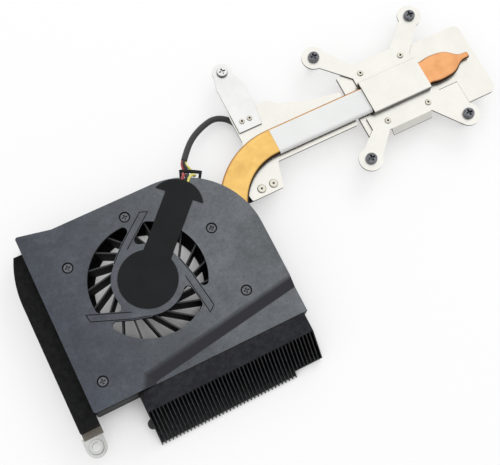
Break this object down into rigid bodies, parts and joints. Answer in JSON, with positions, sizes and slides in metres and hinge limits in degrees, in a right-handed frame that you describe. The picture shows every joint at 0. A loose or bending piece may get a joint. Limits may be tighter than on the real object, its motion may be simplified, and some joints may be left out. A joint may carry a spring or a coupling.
{
  "type": "laptop cooler with fan and heat pipe",
  "caption": "Flat laptop cooler: a radial fan blows through a fin stack, and a flattened heat pipe links the fins to a screw-down processor plate.",
  "frame": {"origin": "centre of the face that meets the processor, on the underside of the contact pad", "axes": "+X along the straight heat pipe away from the fan, +Y away from the fin stack, +Z away from the board"},
  "size_m": [0.217, 0.131, 0.0148],
  "materials": {
    "cover_plastic": "fine moulded texture",
    "housing_plastic": "fine moulded texture",
    "black_screw": "black zinc",
    "black_tape": "matte black film tape",
    "impeller_plastic": "satin moulded plastic",
    "steel": "plain steel",
    "magnet": "bonded magnet",
    "nylon": "plain nylon",
    "bearing": "sintered bronze",
    "winding": "enamelled copper wire",
    "board": "solder-masked board",
    "copper": "drawn copper",
    "label": "bare white label",
    "fin_black": "black finished sheet",
    "foam": "closed-cell foam",
    "liner": "adhesive liner",
    "plate": "rolled sheet",
    "rivet": "plain rivet",
    "red_wire": "insulated wire",
    "yellow_wire": "insulated wire",
    "black_wire": "insulated wire",
    "sleeve": "woven tube",
    "plug": "moulded connector"
  },
  "bodies": {
    "frame": {"top_cover": "cover_plastic", "lower_housing": "housing_plastic", "cover_screws": "black_screw", "hub_tape": "black_tape", "bearing_sleeve": "bearing", "stator_core": "steel", "stator_coils": "winding", "motor_board": "board", "heat_pipe": "copper", "pipe_label": "label", "fin_stack": "fin_black", "fin_foam": "foam", "support_plate": "plate", "ear_bracket": "steel", "ear_rivets": "rivet", "wing_rivets": "rivet", "ear_screw": "steel", "base_plate": "plate", "contact_pad": "copper", "clamp_plate": "steel", "clamp_rivets": "rivet", "captive_screws": "black_screw", "screw_clips": "nylon", "side_bracket": "steel", "bracket_screws": "black_screw", "foam_liner": "liner", "side_foam": "foam", "red_wire": "red_wire", "black_wire": "black_wire", "yellow_wire": "yellow_wire", "cable_sleeve": "sleeve", "cable_plug": "plug"},
    "rotor": {"impeller": "impeller_plastic", "rotor_cup": "steel", "rotor_magnet": "magnet", "motor_shaft": "steel", "shaft_clip": "nylon"}
  },
  "joints": [
    {"name": "impeller_spin", "type": "hinge", "parent": "frame", "child": "rotor", "pos_m": [-0.128, -0.033, 0], "axis": [0, 0, 1], "continuous": true}
  ]
}
